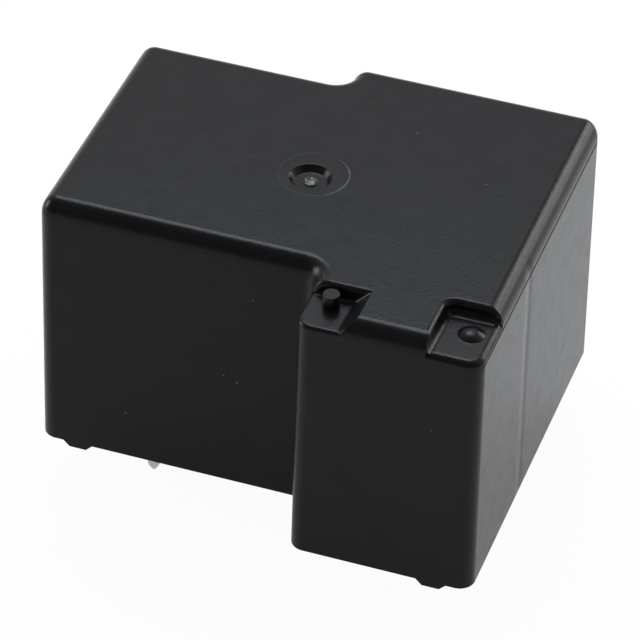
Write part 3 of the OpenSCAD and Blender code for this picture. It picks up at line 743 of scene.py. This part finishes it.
print("winding:", turns, "turns in a layer")

# %% [markdown]
# The contact spring is a thin leaf. One end is riveted to the yoke, the other carries the moving
# contact, and its heel bends when the armature swings. It could be cut in two at the hinge, but then it
# would tear. So it stays one eased copy of its solid, which rides on no body, and its place is baked
# into the mesh.

# %% Contact spring
leaf_edge_r = 0.04
leaf = eased("contact_spring", leaf_edge_r)
dress(leaf, "contact_spring", None)
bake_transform(leaf)
print("spring:", len(leaf.data.polygons), "faces")

# %% [markdown]
# The case is black thermoplastic. At a glancing angle it mirrors its surroundings, and seen head-on it
# is nearly black. A low specular level with the shader's own Fresnel does that. One flat black would
# look painted, so a noise varies the colour a little, and a second one the roughness. Pictures could do
# that too, but noise in object coordinates has no seams and needs no unwrapping.

# %% Black skin of the case
colour_noise = (0.35, 4.0)
gloss_noise = (0.8, 3.0)


def shader(name, metallic=0.0, specular=0.5):
    """A new material, its tree, and its main shader."""
    made = bpy.data.materials.new(name)
    made.use_nodes = True
    main = made.node_tree.nodes["Principled BSDF"]
    main.inputs["Metallic"].default_value = metallic
    main.inputs["Specular IOR Level"].default_value = specular
    return made, made.node_tree, main


def in_mm(tree, stretch=(1, 1, 1)):
    """Object coordinates in millimetres, stretched along the axes."""
    place = tree.nodes.new("ShaderNodeTexCoord")
    turn = tree.nodes.new("ShaderNodeMapping")
    turn.inputs["Scale"].default_value = [s / MM for s in stretch]
    tree.links.new(place.outputs["Object"], turn.inputs["Vector"])
    return turn.outputs["Vector"]


def noise(tree, scale, detail=2.0, stretch=(1, 1, 1)):
    """Noise in object coordinates. Scale is in features per millimetre."""
    texture = tree.nodes.new("ShaderNodeTexNoise")
    texture.inputs["Scale"].default_value = scale
    texture.inputs["Detail"].default_value = detail
    tree.links.new(in_mm(tree, stretch), texture.inputs["Vector"])
    return texture.outputs["Fac"]


def ramp(tree, value, low, high, start=0.3, stop=0.7):
    """Blends from one colour or grey to another as a value rises."""
    blend = tree.nodes.new("ShaderNodeValToRGB")
    blend.color_ramp.elements[0].position = start
    blend.color_ramp.elements[1].position = stop
    for element, level in zip(blend.color_ramp.elements, (low, high)):
        element.color = (*level, 1) if isinstance(level, tuple) else (level, level, level, 1)
    tree.links.new(value, blend.inputs["Fac"])
    return blend.outputs["Color"]


case_black, tree, main = shader("case_black", specular=0.15)
skin = ramp(tree, noise(tree, *colour_noise), (0.0065, 0.0065, 0.0067), (0.0085, 0.0085, 0.0088))
tree.links.new(ramp(tree, noise(tree, *gloss_noise), 0.20, 0.25), main.inputs["Roughness"])
print("case skin:", len(tree.nodes), "nodes")

# %% [markdown]
# A few pale specks of dust lie on the case. They could be tiny pieces, but nobody would touch them. A
# Voronoi texture has one point and one random colour in each cell, so a speck is what lies close to a
# point, and only a small share of the points counts.

# %% Dust specks
speck_r = 0.05
speck_share = 0.07


def worked(tree, operation, a, b):
    """One step of arithmetic between two values."""
    step = tree.nodes.new("ShaderNodeMath")
    step.operation = operation
    for socket, value in zip(step.inputs, (a, b)):
        if isinstance(value, (int, float)):
            socket.default_value = value
        else:
            tree.links.new(value, socket)
    return step.outputs[0]


def over(tree, under, top, mask):
    """One colour over another where a mask is 1. A mix of colours has them on sockets 6 and 7."""
    mix = tree.nodes.new("ShaderNodeMix")
    mix.data_type = "RGBA"
    tree.links.new(mask, mix.inputs[0])
    tree.links.new(under, mix.inputs[6])
    tree.links.new(top, mix.inputs[7])
    return mix.outputs[2]


def specks(tree, radius, share):
    """1 inside small round specks. One point lies in each cubic millimetre, and a share of them counts."""
    cells = tree.nodes.new("ShaderNodeTexVoronoi")
    cells.inputs["Scale"].default_value = 1.0
    tree.links.new(in_mm(tree), cells.inputs["Vector"])
    lot = tree.nodes.new("ShaderNodeSeparateColor")
    tree.links.new(cells.outputs["Color"], lot.inputs["Color"])
    near = worked(tree, "LESS_THAN", cells.outputs["Distance"], radius)
    return worked(tree, "MULTIPLY", near, worked(tree, "LESS_THAN", lot.outputs[0], share))


# This pale grey colours the dust specks, and below it also paints the highlight on the insert ring.
dust_and_glint = ramp(tree, noise(tree, 2.0), (0.1, 0.1, 0.1), (0.3, 0.3, 0.3))
dusty = over(tree, skin, dust_and_glint, specks(tree, speck_r, speck_share))
print("with dust:", len(tree.nodes), "nodes")

# %% [markdown]
# A round insert in the mould leaves a fine ring about the gate. The glint on its edge, brighter on the
# right, is a painted highlight. The torn stub is paler than the skin too. A ring this fine would need
# thousands of tiny faces, so both are drawn in the colour, by the distance from an upright axis.

# %% Insert ring with painted highlight, and torn stub
insert_r = 2.38
insert_half_w = 0.07
# Levels of the painted highlight on the ring, rising towards the right, where the light catches it.
ring_glint_levels = {"From Min": 0.45 * insert_r, "From Max": 0.9 * insert_r, "To Min": 0.08, "To Max": 0.5}
stub_reach = stub_r + 0.02


def from_axis(tree, x, y):
    """Distance from an upright axis, in millimetres."""
    far = tree.nodes.new("ShaderNodeVectorMath")
    far.operation = "DISTANCE"
    far.inputs[1].default_value = (x, y, 0)
    tree.links.new(in_mm(tree, (1, 1, 0)), far.inputs[0])
    return far.outputs["Value"]


def apart(tree, value, middle):
    """How far a value lies from a middle, to either side."""
    return worked(tree, "ABSOLUTE", worked(tree, "SUBTRACT", value, middle), 0)


def along(tree):
    """The three object coordinates in millimetres, each by itself."""
    axes = tree.nodes.new("ShaderNodeSeparateXYZ")
    tree.links.new(in_mm(tree), axes.inputs["Vector"])
    return axes.outputs


def insert_ring_glint(tree, radius, half_width):
    """Painted highlight on a round insert's fine ring, brighter to the right: 1 in the line, 0 beside it."""
    off = worked(tree, "DIVIDE", apart(tree, from_axis(tree, 0, gate_y), radius), half_width)
    line = worked(tree, "MAXIMUM", worked(tree, "SUBTRACT", 1.0, off), 0)
    glint_strength = tree.nodes.new("ShaderNodeMapRange")
    for socket, level in ring_glint_levels.items():
        glint_strength.inputs[socket].default_value = level
    tree.links.new(along(tree)["X"], glint_strength.inputs["Value"])
    return worked(tree, "MULTIPLY", line, glint_strength.outputs["Result"])


# The ring's painted highlight is laid over the skin in the pale grey of the dust.
with_ring_glint = over(tree, dusty, dust_and_glint, insert_ring_glint(tree, insert_r, insert_half_w))
torn = ramp(tree, noise(tree, 5.0, 3.0), (0.01, 0.01, 0.01), (0.22, 0.22, 0.21), start=0.42, stop=0.62)
at_stub = worked(tree, "LESS_THAN", from_axis(tree, *gate_place), stub_reach)
tree.links.new(over(tree, with_ring_glint, torn, at_stub), main.inputs["Base Color"])
print("with ring and stub:", len(tree.nodes), "nodes")

# %% [markdown]
# The mould was spark-eroded, so the skin has a fine even grain. A shallow sink runs down the end wall,
# where a thick place behind it shrank. Both are only hundredths of a millimetre deep, so they are
# relief in the material. They are added up as heights in millimetres, because a shader takes one normal.

# %% Grain and sink of the case
grain_scale = 8.0
grain_depth = 0.014
sink_depth = 0.045
sink_y = -3.1
sink_half_w = 0.9
sink_from_x = right_x - 0.5


def sink(tree, x, y, half_width):
    """A smooth hollow down a wall that stands past x, centred on y: 0 in the middle, 1 outside."""
    axes = along(tree)
    soft = tree.nodes.new("ShaderNodeMapRange")
    soft.interpolation_type = "SMOOTHSTEP"
    soft.inputs["From Max"].default_value = half_width
    tree.links.new(apart(tree, axes["Y"], y), soft.inputs["Value"])
    return worked(tree, "MAXIMUM", soft.outputs["Result"], worked(tree, "LESS_THAN", axes["X"], x))


def bump(tree, main, height, depth_mm):
    """Raises the surface by a height, in units of a depth."""
    relief = tree.nodes.new("ShaderNodeBump")
    relief.inputs["Strength"].default_value = 1.0
    relief.inputs["Distance"].default_value = depth_mm * MM
    tree.links.new(height, relief.inputs["Height"])
    tree.links.new(relief.outputs["Normal"], main.inputs["Normal"])


grain = worked(tree, "MULTIPLY", noise(tree, grain_scale), grain_depth)
hollow = worked(tree, "MULTIPLY", sink(tree, sink_from_x, sink_y, sink_half_w), sink_depth)
bump(tree, main, worked(tree, "ADD", grain, hollow), 1.0)
print("with grain and sink:", len(tree.nodes), "nodes")

# %% [markdown]
# The other pieces are metal, resin, film, wire and plain plastic. They differ in colour, in gloss and
# in how coarse their relief is, so one helper makes them all. The leaf is cut from rolled strip, so its
# grain is stretched along the sheet.

# %% Other finishes


def grained(name, dark, light, roughness, scale, depth_mm, metallic=0.0, stretch=(1, 1, 1)):
    """A finish with small differences in colour and roughness, and a fine relief."""
    made, tree, main = shader(name, metallic)
    tree.links.new(ramp(tree, noise(tree, *colour_noise), dark, light), main.inputs["Base Color"])
    tree.links.new(ramp(tree, noise(tree, *gloss_noise), *roughness), main.inputs["Roughness"])
    bump(tree, main, noise(tree, scale, 2.0, stretch), depth_mm)
    return made


inner_black = grained("inner_black", (0.012, 0.012, 0.013), (0.02, 0.02, 0.021), (0.4, 0.5), 4.0, 0.004)
resin_black = grained("resin_black", (0.006, 0.006, 0.006), (0.01, 0.01, 0.01), (0.12, 0.22), 0.6, 0.02)
tape_amber = grained("tape_amber", (0.55, 0.33, 0.05), (0.62, 0.4, 0.08), (0.3, 0.4), 1.0, 0.01)
wire_enamel = grained("wire_enamel", (0.36, 0.09, 0.03), (0.45, 0.14, 0.05), (0.2, 0.3), 5.0, 0.01,
                      metallic=0.7)
plated_iron = grained("plated_iron", (0.5, 0.5, 0.51), (0.58, 0.57, 0.56), (0.32, 0.45), 6.0, 0.004,
                      metallic=1.0)
spring_copper = grained("spring_copper", (0.62, 0.32, 0.16), (0.7, 0.4, 0.22), (0.22, 0.32), 4.0, 0.002,
                        metallic=1.0, stretch=(0.1, 0.1, 1))
contact_silver = grained("contact_silver", (0.72, 0.7, 0.66), (0.82, 0.8, 0.77), (0.25, 0.35), 3.0, 0.003,
                         metallic=1.0)
rivet_brass = grained("rivet_brass", (0.62, 0.42, 0.16), (0.7, 0.5, 0.22), (0.25, 0.35), 3.0, 0.003,
                      metallic=1.0)
tinned = grained("tinned", (0.6, 0.6, 0.59), (0.72, 0.71, 0.69), (0.2, 0.34), 1.2, 0.012,
                 metallic=1.0)
print("other finishes:", len(tinned.node_tree.nodes), "nodes each")

# %% [markdown]
# Now each piece gets its finish. The node that a piece stands for gets it too, so the solids look right
# wherever they are shown without this scene's pieces.

# %% Finishes on the pieces
worn_by = {
    case_black: ["cover"],
    inner_black: ["base", "bobbin"],
    resin_black: ["sealing_resin"],
    wire_enamel: ["coil_winding", "coil_lead_a", "coil_lead_b"],
    tape_amber: ["coil_tape"],
    plated_iron: ["core", "yoke", "armature"],
    spring_copper: ["contact_spring"],
    contact_silver: ["moving_contact", "open_contact", "closed_contact"],
    rivet_brass: ["armature_rivets", "yoke_rivets"],
    tinned: pin_nodes}
for finish, names in worn_by.items():
    for name in names:
        for wearer in (nodes[name], dressed.get(name, nodes[name])):
            wearer.data.materials.clear()
            wearer.data.materials.append(finish)
print("finishes:", {finish.name: len(names) for finish, names in worn_by.items()})

# %% [markdown]
# The part stands on its pins on a pale sheet. Lamps strong enough to make the sheet white would wash
# out the part. So the floor mixes plain paper with a white glow: rays from the camera see mostly the
# glow, mirrored rays see half of it, and the paper keeps a soft shadow.

# %% Pale floor
floor_half = 3.0
floor_z = -0.00002
white_shares = {"Is Camera Ray": 0.96, "Is Glossy Ray": 0.5, "Is Transmission Ray": 0.92}


def mixed(tree, share, one, other):
    """Two shaders in one, with a share of the other."""
    mix = tree.nodes.new("ShaderNodeMixShader")
    tree.links.new(share, mix.inputs["Fac"])
    tree.links.new(one.outputs[0], mix.inputs[1])
    tree.links.new(other.outputs[0], mix.inputs[2])
    return mix.outputs[0]


floor_bm = bmesh.new()
bmesh.ops.create_grid(floor_bm, x_segments=1, y_segments=1, size=floor_half)
floor = object_from(floor_bm, "floor")
floor.data.transform(Matrix.Translation((0, 0, floor_z)))
pale_floor = bpy.data.materials.new("pale_floor")
pale_floor.use_nodes = True
floor.data.materials.append(pale_floor)
tree = pale_floor.node_tree
tree.nodes.clear()
paper = tree.nodes.new("ShaderNodeBsdfDiffuse")
paper.inputs["Color"].default_value = (0.88, 0.88, 0.88, 1)
glow = tree.nodes.new("ShaderNodeEmission")
glow.inputs["Color"].default_value = (1, 1, 1, 1)
path = tree.nodes.new("ShaderNodeLightPath")
seen_white = 0.0
for rays, share in white_shares.items():
    seen_white = worked(tree, "MAXIMUM", seen_white, worked(tree, "MULTIPLY", path.outputs[rays], share))
out = tree.nodes.new("ShaderNodeOutputMaterial")
tree.links.new(mixed(tree, seen_white, paper, glow), out.inputs["Surface"])
print("floor:", 2 * floor_half, "m wide")

# %% [markdown]
# Around the part is a plain white room. Black plastic shows little but what it mirrors, and an evenly
# white room would make it grey. So the room is bright at the back and dim in front, while the camera
# sees it as white.

# %% White room
room_levels = {"From Min": -0.5, "From Max": 0.6, "To Min": 0.18, "To Max": 0.92}
white_room = bpy.data.worlds.new("white_room")
bpy.context.scene.world = white_room
white_room.use_nodes = True
tree = white_room.node_tree
tree.nodes.clear()
facing = tree.nodes.new("ShaderNodeTexCoord")
split = tree.nodes.new("ShaderNodeSeparateXYZ")
tree.links.new(facing.outputs["Generated"], split.inputs["Vector"])
wall_level = tree.nodes.new("ShaderNodeMapRange")
wall_level.interpolation_type = "SMOOTHSTEP"
for socket, level in room_levels.items():
    wall_level.inputs[socket].default_value = level
tree.links.new(split.outputs["Y"], wall_level.inputs["Value"])
lit = tree.nodes.new("ShaderNodeBackground")
seen = tree.nodes.new("ShaderNodeBackground")
for background in (lit, seen):
    background.inputs["Color"].default_value = (1, 1, 1, 1)
tree.links.new(wall_level.outputs["Result"], lit.inputs["Strength"])
path = tree.nodes.new("ShaderNodeLightPath")
out = tree.nodes.new("ShaderNodeOutputWorld")
tree.links.new(mixed(tree, path.outputs["Is Camera Ray"], lit, seen), out.inputs["Surface"])
print("room: from", room_levels["To Min"], "in front to", room_levels["To Max"], "at the back")

# %% [markdown]
# Four softboxes stand round the part. A large cool one, above and behind, draws the bright band on the
# round of the roof, and a smaller warm one to the right of it warms the right-hand edges. One at the
# left and a low one at the right catch the upright corners. Their places are angles, as a mirrored lamp
# is easiest to steer.

# %% Studio lamps
lamp_distance = 0.5


def softbox(name, left_of_back, height, size, level, colour):
    """An area lamp at the lamps' distance. Its place is two angles, and its level is how bright it looks."""
    turn = radians(left_of_back)
    lift = radians(height)
    lamp = bpy.data.lights.new(name, "AREA")
    lamp.shape = "RECTANGLE"
    lamp.size, lamp.size_y = size
    lamp.energy = pi * size[0] * size[1] * level
    lamp.color = colour
    made = bpy.data.objects.new(name, lamp)
    way = Vector((-sin(turn) * cos(lift), cos(turn) * cos(lift), sin(lift)))
    made.location = Vector((0, 0, roof_z * MM)) + lamp_distance * way
    made.rotation_euler = way.to_track_quat("Z", "Y").to_euler()
    bpy.context.scene.collection.objects.link(made)


softbox("cool_softbox", left_of_back=28, height=61, size=(0.26, 0.26), level=7.2, colour=(0.8, 0.88, 1.0))
softbox("warm_softbox", left_of_back=-30, height=24, size=(0.17, 0.17), level=6.9, colour=(1.0, 0.95, 0.88))
softbox("left_softbox", left_of_back=96, height=12, size=(0.18, 0.22), level=8.0, colour=(0.92, 0.96, 1.0))
softbox("low_softbox", left_of_back=-41, height=8, size=(0.18, 0.15), level=3.6, colour=(1.0, 0.98, 0.95))
print("lamps:", {lamp.name: round(lamp.energy, 2) for lamp in bpy.data.lights})

# %% [markdown]
# The camera was worked out from the straight edges of the case in the photograph: a long lens, high to
# the right of the front, turned by a little over a degree. It looks from its place to an aim inside the
# case.

# %% Camera
stands_at = Vector((70.19, -210.545, 189.438)) * MM
aim = Vector((1.518, -2.044, 14.0)) * MM
roll = radians(1.4245)
camera_data = bpy.data.cameras.new("camera")
camera_data.sensor_width = 36.0
camera_data.lens = 235.09
camera_data.clip_start = 0.01
camera = bpy.data.objects.new("camera", camera_data)
camera.location = stands_at
level_view = (aim - stands_at).to_track_quat("-Z", "Y").to_matrix()
camera.rotation_euler = (level_view @ Matrix.Rotation(roll, 3, "Z")).to_euler()
bpy.context.scene.collection.objects.link(camera)
bpy.context.scene.camera = camera
bpy.context.scene.view_settings.view_transform = "Standard"
print("camera:", round((aim - stands_at).length, 3), "m from its aim")
